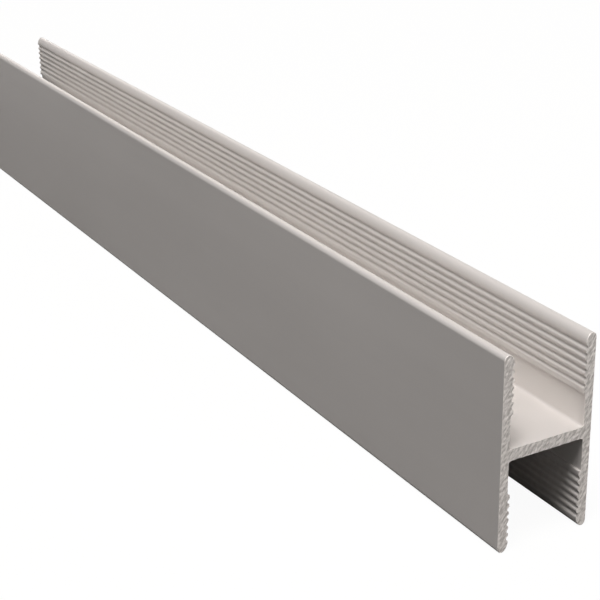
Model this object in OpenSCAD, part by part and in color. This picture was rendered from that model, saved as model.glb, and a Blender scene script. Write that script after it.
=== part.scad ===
// Extruded aluminium H bar: two upright flanges joined by a cross web half way up.
// The inner face of each of the four flange legs carries a band of grooves behind a rounded lip.
// X runs along the bar, Y from flange to flange, Z up the flanges.
// The origin is on the floor, under the middle of the bar. Sizes are in millimetres.

/* [Bar] */
// Length of the sawn piece
bar_length = 273.5; // [50:0.5:3000]
// Width over the outer faces of the flanges
bar_width = 20.5; // [10:0.5:60]
// Height of the flanges, tip to tip
flange_height = 40; // [30:0.5:80]

/* [Walls] */
// Thickness of the cross web
web_thickness = 2.25; // [1.2:0.05:4]
// Thickness of the plain part of a flange, beside the web
wall_thickness = 1.75; // [1:0.05:3]
// How far the grooved band and the lip stand out from the plain part
band_rise = 0.5; // [0.3:0.05:0.7]
// Radius of the fillets where the web meets the flanges
corner_fillet = 0.55; // [0.1:0.05:3]

/* [Lip] */
// Distance of a flange's tip from its outer face
tip_setback = 0.9; // [0.5:0.05:1.7]
// Height of the rounding on the outer side of a flange's tip
outer_rounding = 1; // [0.5:0.05:2]

/* [Grooved band] */
// Number of grooves on each leg
groove_count = 6; // [2:1:9]
// Spacing of the grooves
groove_pitch = 1.55; // [1:0.01:2.3]
// Depth of the grooves below the ridge tops
groove_depth = 0.4; // [0.2:0.05:0.45]
// Distance from the flange tip to the bottom of the first groove
first_groove = 2.65; // [1.6:0.01:5]
// Distance from the bottom of the last groove to the step that ends the band
land_width = 1.56; // [1.1:0.01:4]
// Radius of the edge of that step
step_radius = 0.2; // [0.05:0.05:0.35]

/* [Hidden] */
// Node names, and the one to draw

// Largest turn between neighbouring straight pieces of an arc, in degrees
arc_turn = 10;
// Points closer together than this count as one
same_point = 0.001;

// Half sizes of the section, from its centre
half_width = bar_width / 2;
half_height = flange_height / 2;
half_web = web_thickness / 2;
half_pitch = groove_pitch / 2;

// Inner faces of the right flange: the plain part, the ridge tops, the groove bottoms
plain_y = half_width - wall_thickness;
ridge_y = plain_y - band_rise;
valley_y = ridge_y + groove_depth;

// The inner rounding of the lip runs from the first ridge up to the tip
tip_y = half_width - tip_setback;
inner_reach = tip_y - ridge_y;
inner_rounding = first_groove - half_pitch;

// Ridges and grooves are equal arcs that run into each other
wave_radius = (half_pitch * half_pitch + groove_depth * groove_depth) / (4 * groove_depth);
wave_angle = 2 * atan(groove_depth / half_pitch);

// Heights above the web's middle plane
first_groove_z = half_height - first_groove;
last_groove_z = first_groove_z - (groove_count - 1) * groove_pitch;
step_z = last_groove_z - land_width;

// Points of an oval round a centre, from one angle to another, with its two half axes
function oval(centre, across, up, from, to) =
    let (steps = ceil(abs(to - from) / arc_turn))
        [
            for (i = [0 : steps])
                let (a = from + (to - from) * i / steps)
                    centre + [across * cos(a), up * sin(a)]
        ];

// Points of an arc round a centre, from one angle to another
function arc(centre, radius, from, to) = oval(centre, radius, radius, from, to);

// Fillet between the top of the web and the plain part of the right flange
function fillet_points() =
    arc([plain_y - corner_fillet, half_web + corner_fillet], corner_fillet, -90, 0);

// Step from the plain part out to the flat land below the last groove
function step_points() = concat(
    [[plain_y, step_z]],
    arc([ridge_y + step_radius, step_z + step_radius], step_radius, 270, 180)
);

// One groove, from the top of the ridge below it to the top of the ridge above it
function groove_points(z) = concat(
    arc([ridge_y + wave_radius, z - half_pitch], wave_radius, 180, 180 - wave_angle),
    arc([valley_y - wave_radius, z], wave_radius, -wave_angle, 0),
    arc([valley_y - wave_radius, z], wave_radius, 0, wave_angle),
    arc([ridge_y + wave_radius, z + half_pitch], wave_radius, 180 + wave_angle, 180)
);

// All grooves of one leg, from the lowest to the highest
function band_points() = [
    for (i = [0 : groove_count - 1])
        each groove_points(last_groove_z + i * groove_pitch)
];

// Lip, from the inner face over the tip to the outer face, as two oval quarters
function lip_points() = concat(
    oval([tip_y, half_height - inner_rounding], inner_reach, inner_rounding, 180, 90),
    oval([tip_y, half_height - outer_rounding], tip_setback, outer_rounding, 90, 0)
);

// Points without the repeats where one arc ends and the next begins
function distinct(points) = [
    for (i = [0 : len(points) - 1])
        if (i == 0 || norm(points[i] - points[i - 1]) > same_point)
            points[i]
];

// Upper right quarter of the outline, from the web to the outer face
function quarter_points() =
    distinct(concat(fillet_points(), step_points(), band_points(), lip_points()));

// The same points in the opposite order
function reversed(points) = [for (i = [len(points) - 1 : -1 : 0]) points[i]];

// The same points mirrored by a sign for each axis
function mirrored(points, signs) = [for (p = points) [p[0] * signs[0], p[1] * signs[1]]];

// Whole outline of the section, quarter by quarter round its centre
function section_points() =
    let (quarter = quarter_points())
        concat(
            quarter,
            mirrored(reversed(quarter), [1, -1]),
            mirrored(quarter, [-1, -1]),
            mirrored(reversed(quarter), [-1, 1])
        );

// The bar: the section pushed along X and stood on its flange tips
module h_profile() {
    color("silver")
        translate([0, 0, half_height])
            rotate([90, 0, 90])
                linear_extrude(height = bar_length, center = true)
                    polygon(section_points());
}

h_profile();
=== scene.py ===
"""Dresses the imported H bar: a swept skin with two sawn ends, its finishes, the floor, the lamps and the camera."""

import logging
import math
from dataclasses import dataclass, field
from enum import Enum

import bpy
import numpy as np
from mathutils import Matrix, Vector


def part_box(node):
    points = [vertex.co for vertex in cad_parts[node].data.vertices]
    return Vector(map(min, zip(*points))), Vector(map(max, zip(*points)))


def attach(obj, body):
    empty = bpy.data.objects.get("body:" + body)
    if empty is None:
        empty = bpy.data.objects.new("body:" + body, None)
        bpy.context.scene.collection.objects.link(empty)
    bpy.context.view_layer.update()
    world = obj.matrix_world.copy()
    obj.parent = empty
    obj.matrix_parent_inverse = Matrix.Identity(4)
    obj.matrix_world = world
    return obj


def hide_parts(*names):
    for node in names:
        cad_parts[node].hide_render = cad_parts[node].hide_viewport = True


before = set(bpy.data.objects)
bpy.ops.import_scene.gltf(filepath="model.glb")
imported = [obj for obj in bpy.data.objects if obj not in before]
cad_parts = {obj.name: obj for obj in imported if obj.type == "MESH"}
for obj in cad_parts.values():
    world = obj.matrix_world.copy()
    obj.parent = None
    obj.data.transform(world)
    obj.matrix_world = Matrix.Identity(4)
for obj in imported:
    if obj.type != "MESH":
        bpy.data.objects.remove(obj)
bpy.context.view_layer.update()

MM = 0.001
NODE = "h_profile"
BODY = "root"
PAINTED_SHADE = "painted_groove_shade"
SCORE = "score_depth"
SAME_POINT = 1e-6 * MM
log = logging.getLogger("h_bar")


class BarEnd(Enum):
    """The two sawn ends, by the side of the X axis they are on."""

    NEAR = 1
    FAR = -1


class Face(Enum):
    """Material slots of the bar's mesh."""

    SKIN = 0
    SAWN = 1


@dataclass(frozen=True)
class Term:
    """A value on its way through a node tree, with Python's arithmetic on it."""

    graph: "Graph"
    socket: bpy.types.NodeSocket

    def _join(self, operation: str, first: object, second: object) -> "Term":
        """Adds one Math node.

        Args:
            operation: The Math node's operation.
            first: Its first value, a Term or a number.
            second: Its second value, a Term or a number.

        Returns:
            The node's result.
        """
        node = self.graph.node("ShaderNodeMath", {"operation": operation}, {0: first, 1: second})
        return Term(self.graph, node.outputs[0])

    def __add__(self, other: object) -> "Term":
        """Sum."""
        return self._join("ADD", self, other)

    def __radd__(self, other: object) -> "Term":
        """Sum, the other way round."""
        return self._join("ADD", other, self)

    def __sub__(self, other: object) -> "Term":
        """Difference."""
        return self._join("SUBTRACT", self, other)

    def __rsub__(self, other: object) -> "Term":
        """Difference, the other way round."""
        return self._join("SUBTRACT", other, self)

    def __mul__(self, other: object) -> "Term":
        """Product."""
        return self._join("MULTIPLY", self, other)

    def __rmul__(self, other: object) -> "Term":
        """Product, the other way round."""
        return self._join("MULTIPLY", other, self)

    def __pow__(self, other: object) -> "Term":
        """Power."""
        return self._join("POWER", self, other)

    def larger(self, other: object) -> "Term":
        """The larger of two values."""
        return self._join("MAXIMUM", self, other)


class Graph:
    """A node tree that is written as expressions."""

    def __init__(self, tree: bpy.types.NodeTree) -> None:
        """Empties the tree.

        Args:
            tree: The material's or the world's node tree.
        """
        self.tree = tree
        tree.nodes.clear()

    def node(self, kind: str, settings: dict | None = None, sockets: dict | None = None) -> bpy.types.Node:
        """Adds a node.

        Args:
            kind: The node's type.
            settings: Its properties, which are set first.
            sockets: Values, Terms or sockets for its inputs, by name or place.

        Returns:
            The node.
        """
        made = self.tree.nodes.new(kind)
        for name, value in (settings or {}).items():
            setattr(made, name, value)
        for key, value in (sockets or {}).items():
            source = value.socket if isinstance(value, Term) else value
            if isinstance(source, bpy.types.NodeSocket):
                self.tree.links.new(source, made.inputs[key])
            else:
                made.inputs[key].default_value = source
        return made

    def term(self, kind: str, settings: dict | None, sockets: dict | None, output: str | int = 0) -> Term:
        """Adds a node and gives one of its outputs.

        Args:
            kind: The node's type.
            settings: Its properties.
            sockets: Its inputs.
            output: The output's name or place.

        Returns:
            The output as a Term.
        """
        return Term(self, self.node(kind, settings, sockets).outputs[output])

    def place(self, scale: tuple, turn: tuple = (0.0, 0.0, 0.0)) -> Term:
        """Object coordinates, turned and then stretched.

        Args:
            scale: Cells per metre along each turned axis.
            turn: Turn about X, Y and Z in radians.

        Returns:
            The coordinates.
        """
        spot = self.term("ShaderNodeTexCoord", None, None, "Object")
        if any(turn):
            spot = self.term("ShaderNodeMapping", None, {"Vector": spot, "Rotation": turn})
        return self.term("ShaderNodeMapping", None, {"Vector": spot, "Scale": scale})

    def noise(self, place: Term, detail: float = 2.0, roughness: float = 0.5) -> Term:
        """Even noise from 0 to 1 with cells of one unit.

        Args:
            place: Where it is read.
            detail: Number of finer layers.
            roughness: Weight of the finer layers.

        Returns:
            The noise.
        """
        sockets = {"Vector": place, "Scale": 1.0, "Detail": detail, "Roughness": roughness}
        return self.term("ShaderNodeTexNoise", None, sockets, 0)

    def spread(self, value: Term, low: float, high: float, start: float, stop: float) -> Term:
        """Maps low..high to start..stop, held at both ends.

        Args:
            value: The value to map.
            low: The value that gives start.
            high: The value that gives stop.
            start: Result at low.
            stop: Result at high.

        Returns:
            The mapped value.
        """
        sockets = {"Value": value, "From Min": low, "From Max": high, "To Min": start, "To Max": stop}
        return self.term("ShaderNodeMapRange", {"interpolation_type": "SMOOTHSTEP"}, sockets)

    def blend(self, share: Term, first: tuple | Term, second: tuple | Term) -> Term:
        """Mixes two colours.

        Args:
            share: Share of the second colour.
            first: A colour or a Term.
            second: A colour or a Term.

        Returns:
            The mixed colour.
        """
        colours = [rgb if isinstance(rgb, Term) else (*rgb, 1.0) for rgb in (first, second)]
        sockets = {"Factor": share, 6: colours[0], 7: colours[1]}
        return self.term("ShaderNodeMix", {"data_type": "RGBA"}, sockets, 2)

    def bump(self, height: Term, depth: float, strength: float, under: Term | None = None) -> Term:
        """Tilts the surface by a height pattern.

        Args:
            height: The pattern.
            depth: Metres from its 0 to its 1.
            strength: Share of the tilt that shows.
            under: A bump that lies under this one.

        Returns:
            The normal.
        """
        sockets = {"Height": height, "Distance": depth, "Strength": strength}
        if under is not None:
            sockets["Normal"] = under
        return self.term("ShaderNodeBump", None, sockets)


def new_material(name: str) -> tuple[bpy.types.Material, Graph]:
    """Makes an empty material.

    Args:
        name: The material's name.

    Returns:
        The material and its node graph.
    """
    material = bpy.data.materials.new(name)
    material.use_nodes = True
    return material, Graph(material.node_tree)


@dataclass(frozen=True)
class SatinAnodised:
    """Etched and anodised skin: warm grey metal with faint lines drawn along the bar by the die."""

    colour: tuple = (0.758, 0.735, 0.717)
    clouded: tuple = (0.728, 0.705, 0.687)
    line_share: float = 0.3
    tone_range: tuple = (0.3, 0.7)
    # Painted shade in the grooves: how dark it gets at full strength, and how it grows with the groove share.
    shade_dark: float = 0.32
    shade_power: float = 1.5
    metal: float = 0.55
    roughness: float = 0.58
    line_rough: float = 0.12
    cloud_rough: float = 0.08
    groove_rough: float = 0.1
    line_pitch: float = 0.35 * MM
    line_length: float = 160 * MM
    line_depth: float = 0.004 * MM
    line_strength: float = 0.6
    grain: float = 0.16 * MM
    grain_depth: float = 0.004 * MM
    grain_strength: float = 0.35
    cloud: float = 35 * MM
    cloud_length: float = 100 * MM

    def material(self) -> bpy.types.Material:
        """Makes the material.

        Die lines are noise drawn out along X. Clouds are slow noise in all directions. Both shift the colour and the
        roughness a little, and the lines and a fine etched grain tilt the surface. Shade is painted into the grooves:
        their colour grows darker and their surface rougher towards their bottoms, most of all near the cuts.

        Returns:
            The material.
        """
        material, graph = new_material("satin_anodised")
        along_lines = graph.place((1 / self.line_length, 1 / self.line_pitch, 1 / self.line_pitch))
        lines = graph.noise(along_lines, detail=3.0, roughness=0.6)
        in_clouds = graph.place((1 / self.cloud_length, 1 / self.cloud, 1 / self.cloud))
        clouds = graph.noise(in_clouds, detail=3.0)
        grain = graph.noise(graph.place((1 / self.grain,) * 3), detail=1.0)
        mixed = clouds * (1 - self.line_share) + lines * self.line_share
        tone = graph.spread(mixed, *self.tone_range, 0.0, 1.0)
        # Painted shade: the groove attribute darkens the colour and raises the roughness towards the groove bottoms.
        groove_shade = graph.term("ShaderNodeAttribute", {"attribute_name": PAINTED_SHADE}, None, "Fac")
        shade = 1.0 - groove_shade**self.shade_power * self.shade_dark
        clean = graph.blend(tone, self.clouded, self.colour)
        colour = graph.term("ShaderNodeVectorMath", {"operation": "SCALE"}, {0: clean, "Scale": shade})
        uneven = (lines - 0.5) * self.line_rough + (clouds - 0.5) * self.cloud_rough
        rough = self.roughness + uneven + groove_shade * self.groove_rough
        drawn = graph.bump(lines, self.line_depth, self.line_strength)
        normal = graph.bump(grain, self.grain_depth, self.grain_strength, drawn)
        shader = graph.node(
            "ShaderNodeBsdfPrincipled",
            None,
            {"Base Color": colour, "Metallic": self.metal, "Roughness": rough, "Normal": normal},
        )
        graph.node("ShaderNodeOutputMaterial", None, {"Surface": shader.outputs[0]})
        return material


@dataclass(frozen=True)
class SawnFace:
    """Bare metal of a saw cut: short slanting scores in bright and dull tones, with light painted on the crests of
    its relief and shade painted in its troughs.
    """

    bright: tuple = (1.0, 0.965, 0.935)
    dull: tuple = (0.6, 0.575, 0.55)
    score_share: float = 0.4
    tear_share: float = 0.3
    crest_light_share: float = 0.3
    tone_range: tuple = (0.35, 0.65)
    metal: float = 0.4
    roughness: float = 0.55
    tear_rough: float = 0.25
    slant: float = math.radians(55)
    score_pitch: float = 0.4 * MM
    score_length: float = 1.5 * MM
    score_depth: float = 0.025 * MM
    score_strength: float = 0.8
    tear: float = 0.6 * MM

    def material(self) -> bpy.types.Material:
        """Makes the material.

        Scores are noise that is turned to the saw's slant in the YZ plane and drawn out along it. With the torn grain
        they set the colour between dull and bright, and the mesh's own relief adds painted light: lighter on its
        crests, darker in its troughs.

        Returns:
            The material.
        """
        material, graph = new_material("sawn_metal")
        turned = (-self.slant, 0.0, 0.0)
        drawn = (1 / self.score_length, 1 / self.score_length, 1 / self.score_pitch)
        scores = graph.noise(graph.place(drawn, turned))
        torn = graph.noise(graph.place((1 / self.tear,) * 3, turned), detail=3.0, roughness=0.6)
        trough = graph.term("ShaderNodeAttribute", {"attribute_name": SCORE}, None, "Fac")
        # Painted light and shade: the score relief of the mesh makes its crests lighter and its troughs darker.
        mixed = scores * self.score_share + torn * self.tear_share + (1.0 - trough) * self.crest_light_share
        tone = graph.spread(mixed, *self.tone_range, 0.0, 1.0)
        colour = graph.blend(tone, self.dull, self.bright)
        rough = self.roughness + (torn - 0.5) * self.tear_rough
        normal = graph.bump(scores, self.score_depth, self.score_strength)
        shader = graph.node(
            "ShaderNodeBsdfPrincipled",
            None,
            {"Base Color": colour, "Metallic": self.metal, "Roughness": rough, "Normal": normal},
        )
        graph.node("ShaderNodeOutputMaterial", None, {"Surface": shader.outputs[0]})
        return material


def oval(centre: tuple, across: float, up: float, start: float, stop: float, pieces: int) -> np.ndarray:
    """Points at equal turns round a centre: centre + (across cos a, up sin a).

    Args:
        centre: The oval's centre.
        across: Its half axis along Y.
        up: Its half axis along Z.
        start: First angle in degrees.
        stop: Last angle in degrees.
        pieces: Number of straight pieces.

    Returns:
        An array of pieces + 1 points.
    """
    angle = np.radians(np.linspace(start, stop, pieces + 1))
    return np.asarray(centre) + np.stack([across * np.cos(angle), up * np.sin(angle)], 1)


def arc(centre: tuple, radius: float, start: float, stop: float, pieces: int) -> np.ndarray:
    """An oval with equal half axes."""
    return oval(centre, radius, radius, start, stop, pieces)


def straight(start: tuple, stop: tuple, spacing: float) -> np.ndarray:
    """Points at equal steps from start to stop.

    Args:
        start: First point.
        stop: Last point.
        spacing: Longest step.

    Returns:
        The points, both ends included.
    """
    pieces = max(1, math.ceil(math.dist(start, stop) / spacing))
    return np.linspace(start, stop, pieces + 1)


def chain(parts: list[np.ndarray]) -> np.ndarray:
    """Joins runs of points, each of which starts where the one before ended.

    Args:
        parts: The runs.

    Returns:
        All points without the repeats.
    """
    return np.concatenate([parts[0]] + [part[1:] for part in parts[1:]])


@dataclass
class Section:
    """The H section in the YZ plane, in metres, measured from the middle of the web."""

    width: float
    height: float
    web: float = 2.25 * MM
    wall: float = 1.75 * MM
    rise: float = 0.5 * MM
    fillet: float = 0.55 * MM
    tip_setback: float = 0.9 * MM
    outer_rounding: float = 1.0 * MM
    grooves: int = 6
    pitch: float = 1.55 * MM
    depth: float = 0.4 * MM
    first_groove: float = 2.65 * MM
    land: float = 1.56 * MM
    step_radius: float = 0.2 * MM
    spacing: float = 0.13 * MM
    level_share: float = 0.2
    bottom_margin: float = 0.01
    arc_pieces: int = 5
    fillet_pieces: int = 8
    round_pieces: int = 14
    across: int = 14
    web_rows: int = 22

    @property
    def plain(self) -> float:
        """Y of the plain inner face of the right flange."""
        return self.width / 2 - self.wall

    @property
    def ridge(self) -> float:
        """Y of the ridge tops on the inner face of the right flange."""
        return self.plain - self.rise

    @property
    def tip(self) -> float:
        """Y of the tip of the right flange."""
        return self.width / 2 - self.tip_setback

    @property
    def groove_levels(self) -> np.ndarray:
        """Z of the groove bottoms of the upper legs, from the lowest to the highest."""
        return self.height / 2 - self.first_groove - self.pitch * np.arange(self.grooves - 1, -1, -1)

    @property
    def web_reach(self) -> float:
        """Z at which the fillet of the web runs out on the flange."""
        return self.web / 2 + self.fillet

    def inner_leg(self) -> np.ndarray:
        """Inner face of the upper right leg: plain, step, land, waves of equal arcs, and the lip up to its tip.

        Returns:
            Points from the web to the tip.
        """
        ridge, levels = self.ridge, self.groove_levels
        valley = ridge + self.depth
        half = self.pitch / 2
        radius = (half**2 + self.depth**2) / (4 * self.depth)
        lean = 2 * math.degrees(math.atan(self.depth / half))
        step = levels[0] - self.land
        corner = (ridge + self.step_radius, step + self.step_radius)
        parts = [
            straight((self.plain, self.web_reach), (self.plain, step), self.spacing),
            straight((self.plain, step), (corner[0], step), self.spacing),
            arc(corner, self.step_radius, 270, 180, self.arc_pieces),
            straight((ridge, corner[1]), (ridge, levels[0] - half), self.spacing),
        ]
        for z in levels:
            parts += [
                arc((ridge + radius, z - half), radius, 180, 180 - lean, self.arc_pieces),
                arc((valley - radius, z), radius, -lean, lean, 2 * self.arc_pieces),
                arc((ridge + radius, z + half), radius, 180 + lean, 180, self.arc_pieces),
            ]
        lip_height = self.first_groove - half
        lip_centre = (self.tip, levels[-1] + half)
        parts.append(oval(lip_centre, self.tip - ridge, lip_height, 180, 90, self.round_pieces))
        return chain(parts)

    def outer_leg(self, inner: np.ndarray) -> np.ndarray:
        """Outer face of the upper right leg, one point for each point of the inner face.

        Its points rise with the inner ones: each step is the inner step's rise plus level_share of its length, so
        that no two of them meet where the inner face runs level.

        Args:
            inner: Points of the inner face.

        Returns:
            As many points.
        """
        flat = inner[: len(inner) - self.round_pieces]
        step = np.diff(flat, axis=0)
        advance = np.concatenate([[0.0], np.cumsum(np.abs(step[:, 1]) + self.level_share * np.hypot(*step.T))])
        top = self.height / 2 - self.outer_rounding
        z = self.web_reach + (top - self.web_reach) * advance / advance[-1]
        face = np.stack([np.full_like(z, self.width / 2), z], 1)
        lip = oval((self.tip, top), self.tip_setback, self.outer_rounding, 0, 90, self.round_pieces)
        return chain([face, lip])

    def flange_grid(self) -> tuple[np.ndarray, int, int]:
        """The right flange as a grid: up the flange by across its thickness, each row straight from face to face.

        Returns:
            The grid, and the rows at which the web begins and ends.
        """
        inner = self.inner_leg()
        outer = self.outer_leg(inner)
        level = np.linspace(-self.web_reach, self.web_reach, self.web_rows + 1)[:, None]
        middle = [np.hstack([np.full_like(level, y), level]) for y in (self.width / 2, self.plain)]
        down = np.array([1.0, -1.0])
        faces = [
            chain([leg[::-1] * down, centre, leg]) for leg, centre in ((outer, middle[0]), (inner, middle[1]))
        ]
        share = np.linspace(0.0, 1.0, self.across + 1)[None, :, None]
        grid = faces[0][:, None, :] * (1 - share) + faces[1][:, None, :] * share
        begin = len(inner) - 1
        return grid, begin, begin + self.web_rows

    def web_grid(self) -> np.ndarray:
        """The web as a grid: across the bar by up the web, with the fillets as arcs in its top and bottom rows.

        Returns:
            The grid.
        """
        bend = arc((self.plain - self.fillet, self.web_reach), self.fillet, 270, 360, self.fillet_pieces)
        edge = self.plain - self.fillet
        flat = straight((-edge, self.web / 2), (edge, self.web / 2), 2 * self.spacing)
        top = chain([bend[::-1] * np.array([-1.0, 1.0]), flat, bend])
        share = np.linspace(-1.0, 1.0, self.web_rows + 1)
        y = np.repeat(top[:, :1], self.web_rows + 1, 1)
        return np.stack([y, top[:, 1:] * share], 2)

    def groove_share(self, points: np.ndarray) -> np.ndarray:
        """How deep in a groove each point lies, from 0 on a ridge to 1 at the bottom, and 0 outside the band.

        Points deeper than the bottoms by more than bottom_margin are inside the wall and get 0.

        Args:
            points: Points of the section.

        Returns:
            A share for each point.
        """
        levels = self.groove_levels
        level = np.abs(points[:, 1])
        band = (level > levels[0] - self.pitch / 2) & (level < levels[-1] + self.pitch / 2)
        depth = (np.abs(points[:, 0]) - self.ridge) / self.depth
        return np.where(band & (depth < 1 + self.bottom_margin), np.clip(depth, 0, 1), 0.0)


@dataclass
class SectionMesh:
    """One flat mesh of the section with its outline, shared by both ends and the sides."""

    points: np.ndarray
    quads: np.ndarray
    outline: np.ndarray

    @classmethod
    def of(cls, section: Section) -> "SectionMesh":
        """Joins the two flange grids and the web grid where their edge points meet.

        Args:
            section: The section's sizes.

        Returns:
            The mesh. Its faces and its outline run anticlockwise, seen from +X.
        """
        right, begin, end = section.flange_grid()
        left = right * np.array([-1.0, 1.0])
        web = section.web_grid()
        blocks = [right, left, web]
        starts = np.cumsum([0] + [block.shape[0] * block.shape[1] for block in blocks])
        flat = np.concatenate([block.reshape(-1, 2) for block in blocks])
        _, first, merged = np.unique(np.round(flat / SAME_POINT), axis=0, return_index=True, return_inverse=True)
        merged = merged.ravel()
        ids = [merged[starts[k] : starts[k + 1]].reshape(blocks[k].shape[:2]) for k in range(3)]
        quads = np.concatenate([cls._cells(ids[0]), cls._cells(ids[1])[:, ::-1], cls._cells(ids[2])])
        outline = np.concatenate(
            [
                ids[0][:, 0],
                ids[0][:end:-1, -1],
                ids[2][::-1, -1],
                ids[1][end + 1 :, -1],
                ids[1][::-1, 0],
                ids[1][:begin, -1],
                ids[2][:, 0],
                ids[0][begin - 1 :: -1, -1],
            ]
        )
        return cls(flat[first], quads, outline[outline != np.roll(outline, 1)])

    @staticmethod
    def _cells(ids: np.ndarray) -> np.ndarray:
        """Corner numbers of each cell of a grid of point numbers."""
        return np.stack([ids[:-1, :-1], ids[1:, :-1], ids[1:, 1:], ids[:-1, 1:]], -1).reshape(-1, 4)


@dataclass
class HBar:
    """The bar: its section carried along X between two sawn ends."""

    length: float
    width: float
    height: float
    skin: SatinAnodised = field(default_factory=SatinAnodised)
    sawn: SawnFace = field(default_factory=SawnFace)
    end_rings: tuple = (0.12 * MM, 0.3 * MM, 1.0 * MM, 6.0 * MM)
    middle_rings: int = 7
    score_depth: float = 0.08 * MM
    score_pitch: float = 0.75 * MM
    score_length: float = 1.8 * MM
    score_waves: int = 60
    score_rates: tuple = (0.2, 1.6)
    score_tilt: float = 0.75
    score_limit: float = 2.5
    edge_break: float = 0.08 * MM
    least_break: float = 0.5
    ragged_mean: float = 0.3
    ragged_spread: float = 0.35
    burr: float = 0.1 * MM
    burr_margin: tuple = (1.2 * MM, 1.5 * MM)
    # Painted shade in the groove bottoms, stronger within a fraction of a millimetre of each cut, where the burr's
    # shadow falls.
    painted_groove_shade: float = 0.25
    cut_shade_reach: float = 0.5 * MM
    sharp_angle: float = math.radians(38)
    score_seed: int = 7
    edge_seed: int = 17

    def score_relief(self, points: np.ndarray, end: BarEnd) -> np.ndarray:
        """How deep each point lies in the saw's scores.

        The sum of plane waves that run nearly across the slant of the cut. Their lengths scatter round score_pitch
        and their tilts let each crest die out after about score_length. The sum is scaled to run from 0 on the
        highest crests to 1 in the lowest troughs.

        Args:
            points: Points of the section.
            end: Which end they are on.

        Returns:
            A share of score_depth for each point.
        """
        draw = np.random.default_rng(self.score_seed + end.value)
        slant = self.sawn.slant
        along = points @ np.array([math.cos(slant), math.sin(slant)])
        over = points @ np.array([-math.sin(slant), math.cos(slant)])
        rate = draw.uniform(*self.score_rates, (self.score_waves, 1)) / self.score_pitch
        tilt = draw.normal(0.0, self.score_tilt, (self.score_waves, 1)) / self.score_length
        phase = draw.uniform(0.0, 1.0, (self.score_waves, 1))
        total = np.cos(2 * np.pi * (rate * over + tilt * along + phase)).sum(0)
        return (1 - np.clip(total / (self.score_limit * total.std()), -1, 1)) / 2

    def edge_ring(self, mesh: SectionMesh, end: BarEnd) -> np.ndarray:
        """The outline at the saw cut, broken inwards on the outer faces and drawn to a slight ragged burr inside.

        The raggedness is random and smoothed three times along the outline. The burr keeps burr_margin away from the
        outer faces and from the tips.

        Args:
            mesh: The section's mesh.
            end: Which end.

        Returns:
            Moved points of the outline.
        """
        ring = mesh.points[mesh.outline]
        ahead = np.roll(ring, -1, 0) - np.roll(ring, 1, 0)
        outward = np.stack([ahead[:, 1], -ahead[:, 0]], 1)
        outward /= np.linalg.norm(outward, axis=1, keepdims=True)
        draw = np.random.default_rng(self.edge_seed + end.value)
        ragged = draw.uniform(0, 1, len(ring))
        for _ in range(3):
            ragged = (np.roll(ragged, 1) + ragged + np.roll(ragged, -1)) / 3
        ragged = (ragged - ragged.mean()) / ragged.std()
        ragged = np.clip(ragged * self.ragged_spread + self.ragged_mean, 0, 1)
        limit = np.array([self.width, self.height]) / 2 - np.array(self.burr_margin)
        inside = (np.abs(ring) < limit).all(1)
        push = np.where(inside, self.burr * ragged, -self.edge_break * (self.least_break + ragged))
        return ring + outward * push[:, None]

    def ring_places(self) -> np.ndarray:
        """X of the outline's rings, close together at the cuts and evenly spaced between them.

        Returns:
            The places from the near end to the far one.
        """
        half = self.length / 2
        near = half - np.array(self.end_rings)
        middle = np.linspace(half, -half, self.middle_rings + 2)[1:-1]
        return np.concatenate([near, middle, -near[::-1]])

    def end_sheet(self, mesh: SectionMesh, end: BarEnd) -> tuple[np.ndarray, np.ndarray]:
        """One sawn end: the section's points, set back by the depth of the scores.

        Args:
            mesh: The section's mesh.
            end: Which end.

        Returns:
            The points, and how deep each lies in the scores.
        """
        score = self.score_relief(mesh.points, end)
        spot = mesh.points.copy()
        spot[mesh.outline] = self.edge_ring(mesh, end)
        x = end.value * (self.length / 2 - self.score_depth * score)
        return np.column_stack([x, spot]), score

    def groove_shade_share(self, depth: np.ndarray, rings_x: np.ndarray) -> np.ndarray:
        """Painted shade on the rings: a little in the bottoms of the grooves, and more towards the cuts, standing in
        for the burr's shadow.

        The share towards the cuts falls as the exponential of the distance from the cut over the reach given on the
        bar.

        Args:
            depth: How deep in a groove each point of the outline lies.
            rings_x: X of the rings.

        Returns:
            A share for each point of each ring.
        """
        cut_shade = np.exp((np.abs(rings_x) - self.length / 2) / self.cut_shade_reach)[:, None]
        return depth * (self.painted_groove_shade + (1 - self.painted_groove_shade) * cut_shade)

    def build(self) -> bpy.types.Object:
        """Makes the bar's mesh: rings of the outline along X, closed by a scored sheet at each end.

        Returns:
            The bar.
        """
        section = Section(self.width, self.height)
        mesh = SectionMesh.of(section)
        count, ring = len(mesh.points), len(mesh.outline)
        rings_x = self.ring_places()
        (near, near_score), (far, far_score) = (self.end_sheet(mesh, end) for end in BarEnd)
        body = np.empty((len(rings_x), ring, 3))
        body[:, :, 0] = rings_x[:, None]
        body[:, :, 1:] = mesh.points[mesh.outline]
        points = np.concatenate([near, far, body.reshape(-1, 3)])
        points[:, 2] += self.height / 2
        rings = 2 * count + np.arange(len(rings_x) * ring).reshape(-1, ring)
        loops = np.vstack([mesh.outline, rings, count + mesh.outline])
        ahead = np.roll(loops, -1, 1)
        sides = np.stack([loops[:-1], loops[1:], ahead[1:], ahead[:-1]], -1).reshape(-1, 4)
        caps = np.concatenate([mesh.quads, count + mesh.quads[:, ::-1]])
        made = self._object(points, sides, caps, ring)
        depth = section.groove_share(mesh.points)
        # The painted groove shade goes to every point, and only the skin's material reads it.
        groove_shade = np.concatenate([depth, depth, self.groove_shade_share(depth[mesh.outline], rings_x).ravel()])
        score = np.concatenate([near_score, far_score, np.zeros(rings.size)])
        for name, values in ((PAINTED_SHADE, groove_shade), (SCORE, score)):
            made.data.attributes.new(name, "FLOAT", "POINT").data.foreach_set("value", values.astype(np.float32))
        return made

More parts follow.
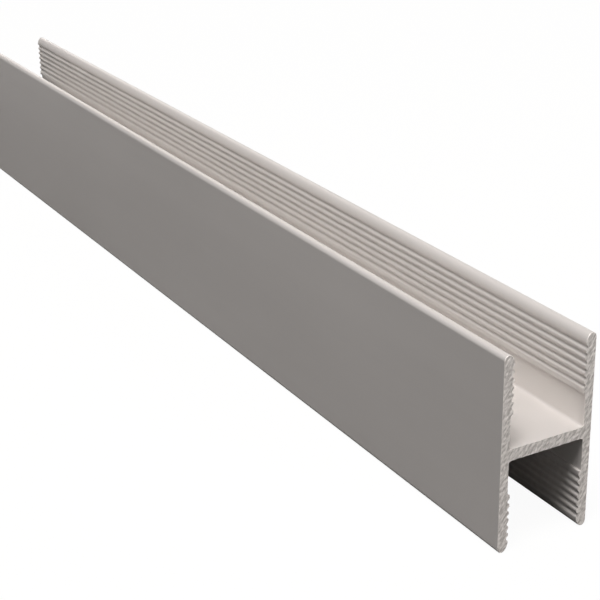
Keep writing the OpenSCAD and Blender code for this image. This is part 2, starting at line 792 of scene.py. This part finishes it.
    def _object(self, points: np.ndarray, sides: np.ndarray, caps: np.ndarray, ring: int) -> bpy.types.Object:
        """Puts the arrays into a mesh object.

        Args:
            points: All points.
            sides: Corner numbers of the long faces.
            caps: Corner numbers of the end sheets, in which a corner may repeat at a lip's tip.
            ring: Number of points of the outline.

        Returns:
            The object, with the skin on its sides and the sawn finish on its ends.
        """
        faces = np.concatenate([sides, caps])
        finish = np.full(len(faces), Face.SAWN.value)
        finish[ring : len(sides) - ring] = Face.SKIN.value
        repeat = faces == np.roll(faces, 1, 1)
        whole = ~repeat.any(1)
        three = faces[~whole][~repeat[~whole]].reshape(-1, 3)
        data = bpy.data.meshes.new(NODE + "_skin")
        data.from_pydata(points.tolist(), [], faces[whole].tolist() + three.tolist())
        data.materials.append(self.skin.material())
        data.materials.append(self.sawn.material())
        finish = np.concatenate([finish[whole], finish[~whole]])
        data.polygons.foreach_set("material_index", finish.astype(np.int32))
        data.polygons.foreach_set("use_smooth", np.ones(len(finish), dtype=bool))
        data.set_sharp_from_angle(angle=self.sharp_angle)
        data.update()
        made = bpy.data.objects.new("h_bar", data)
        bpy.context.scene.collection.objects.link(made)
        return made


@dataclass(frozen=True)
class Lamp:
    """A soft lamp that faces the bar: its direction, distance and size, and how bright its face is."""

    name: str
    azimuth: float
    elevation: float
    distance: float
    size: tuple
    glow: float

    def hang(self, aim: Vector, colour: tuple) -> None:
        """Hangs the lamp, with its long side level.

        Args:
            aim: What it points at.
            colour: The colour of its light.
        """
        data = bpy.data.lights.new(self.name, "AREA")
        data.shape = "RECTANGLE"
        data.size, data.size_y = self.size
        data.color = colour
        data.energy = math.pi * self.glow * math.prod(self.size)
        turn, rise = math.radians(self.azimuth), math.radians(self.elevation)
        away = Vector((math.cos(turn) * math.cos(rise), math.sin(turn) * math.cos(rise), math.sin(rise)))
        level = Vector((-math.sin(turn), math.cos(turn), 0.0))
        axes = Matrix((level, away.cross(level), away)).transposed().to_4x4()
        lamp = bpy.data.objects.new(self.name, data)
        lamp.matrix_world = Matrix.Translation(aim + self.distance * away) @ axes
        lamp.visible_camera = False
        bpy.context.scene.collection.objects.link(lamp)


@dataclass
class Studio:
    """A pale floor between white walls, a high key lamp, and soft lamps at both ends, in front and behind."""

    floor_size: float = 6.0
    floor_colour: tuple = (0.82, 0.82, 0.81)
    floor_return: tuple = (0.075, 0.075, 0.075)
    white_share: float = 0.95
    shadow_start: float = 0.25
    shadow_end: float = 0.9
    warmth: tuple = (1.0, 0.962, 0.938)
    ambient: float = 0.05
    wall_start: float = 0.5
    wall_end: float = 0.8
    lamps: tuple = (
        Lamp("lamp_key", -50, 69, 2.2, (0.76, 1.0), 21.6),
        Lamp("lamp_near", 12, 20, 2.2, (0.9, 0.85), 7.2),
        Lamp("lamp_far", 168, 14, 2.2, (0.9, 0.6), 4.5),
        Lamp("lamp_front", -90, 35, 2.2, (4.0, 2.0), 0.08),
        Lamp("lamp_back", 90, 60, 2.2, (4.0, 1.2), 0.48),
    )

    @staticmethod
    def rays(graph: Graph) -> tuple[Term, Term]:
        """Tells apart the rays that meet a surface.

        Args:
            graph: The material's or the world's nodes.

        Returns:
            1 for rays from the camera, and 1 for rays from shiny or clear surfaces.
        """
        path = graph.node("ShaderNodeLightPath")
        names = ("Is Camera Ray", "Is Glossy Ray", "Is Transmission Ray")
        camera, shiny, clear = (Term(graph, path.outputs[name]) for name in names)
        return camera, shiny.larger(clear)

    def build_floor(self, length: float) -> bpy.types.Object:
        """Makes the floor, which shows white to the camera and in the metal, and keeps the bar's shadow.

        Args:
            length: The bar's length.

        Returns:
            The floor.
        """
        half = self.floor_size / 2
        corners = [(-half, -half, 0), (half, -half, 0), (half, half, 0), (-half, half, 0)]
        data = bpy.data.meshes.new("floor")
        data.from_pydata(corners, [], [(0, 1, 2, 3)])
        floor = bpy.data.objects.new("floor", data)
        bpy.context.scene.collection.objects.link(floor)
        material, graph = new_material("pale_floor")
        camera, mirror = self.rays(graph)
        spot = graph.term("ShaderNodeTexCoord", None, None, "Object")
        axes = graph.node("ShaderNodeSeparateXYZ", None, {0: spot})
        past = (Term(graph, axes.outputs[0]) ** 2) ** 0.5 - length / 2
        aside = (Term(graph, axes.outputs[1]) ** 2) ** 0.5
        gap = (past.larger(0.0) ** 2 + aside**2) ** 0.5
        clear = graph.spread(gap, self.shadow_start, self.shadow_end, 0.0, 1.0)
        share = camera.larger(mirror * clear) * self.white_share
        colour = graph.blend(camera, self.floor_return, self.floor_colour)
        pale = graph.node("ShaderNodeBsdfDiffuse", None, {"Color": colour})
        white = graph.node("ShaderNodeEmission", None, {"Strength": 1.0})
        mixed = graph.node("ShaderNodeMixShader", None, {0: share, 1: pale.outputs[0], 2: white.outputs[0]})
        graph.node("ShaderNodeOutputMaterial", None, {"Surface": mixed.outputs[0]})
        data.materials.append(material)
        return floor

    def build_world(self) -> None:
        """Lights the scene evenly, and shows white to the camera and, as walls along the bar, in the metal."""
        world = bpy.data.worlds.new("studio")
        bpy.context.scene.world = world
        world.use_nodes = True
        graph = Graph(world.node_tree)
        camera, mirror = self.rays(graph)
        way = graph.term("ShaderNodeTexCoord", None, None, "Generated")
        aside = (Term(graph, graph.node("ShaderNodeSeparateXYZ", None, {0: way}).outputs[1]) ** 2) ** 0.5
        seen = camera.larger(mirror * graph.spread(aside, self.wall_start, self.wall_end, 0.0, 1.0))
        colour = graph.blend(seen, self.warmth, (1.0, 1.0, 1.0))
        strength = seen * (1.0 - self.ambient) + self.ambient
        sky = graph.node("ShaderNodeBackground", None, {"Color": colour, "Strength": strength})
        graph.node("ShaderNodeOutputWorld", None, {"Surface": sky.outputs[0]})

    def build(self, length: float, height: float) -> None:
        """Makes the floor, the world and the lamps.

        Args:
            length: The bar's length.
            height: The bar's height.
        """
        self.build_floor(length)
        self.build_world()
        for lamp in self.lamps:
            lamp.hang(Vector((0.0, 0.0, height / 2)), self.warmth)


@dataclass
class PhotoCamera:
    """The camera where the photograph was taken from."""

    place: tuple = (328.338 * MM, -158.94 * MM, 153.287 * MM)
    target: tuple = (54.77 * MM, -4.66 * MM, 20.0 * MM)
    roll: float = math.radians(-1.057)
    lens: float = 91.71
    sensor: float = 36.0
    clip: tuple = (0.01, 20.0)

    def build(self) -> bpy.types.Object:
        """Makes the camera and hands it to the scene.

        Returns:
            The camera.
        """
        data = bpy.data.cameras.new("photo_camera")
        data.sensor_width = self.sensor
        data.lens = self.lens
        data.clip_start, data.clip_end = self.clip
        camera = bpy.data.objects.new("photo_camera", data)
        place, target = Vector(self.place), Vector(self.target)
        ahead = (target - place).normalized()
        right = ahead.cross(Vector((0, 0, 1))).normalized()
        up = right.cross(ahead)
        turn = Matrix.Rotation(-self.roll, 3, ahead)
        right, up = turn @ right, turn @ up
        camera.matrix_world = Matrix.Translation(place) @ Matrix((right, up, -ahead)).transposed().to_4x4()
        bpy.context.scene.collection.objects.link(camera)
        bpy.context.scene.camera = camera
        return camera


def main() -> None:
    logging.basicConfig(level=logging.INFO, format="%(message)s")
    low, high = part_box(NODE)
    bar = HBar(*(high - low))
    piece = bar.build()
    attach(piece, BODY)
    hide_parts(NODE)
    log.info("%s: %d points, %d faces", piece.name, len(piece.data.vertices), len(piece.data.polygons))
    studio = Studio()
    studio.build(bar.length, bar.height)
    log.info("studio: floor %.1f m wide, %d lamps", studio.floor_size, len(studio.lamps))
    camera = PhotoCamera().build()
    log.info("%s: lens %.2f mm", camera.name, camera.data.lens)
    bpy.context.scene.view_settings.view_transform = "Standard"


if __name__ == "__main__":
    main()
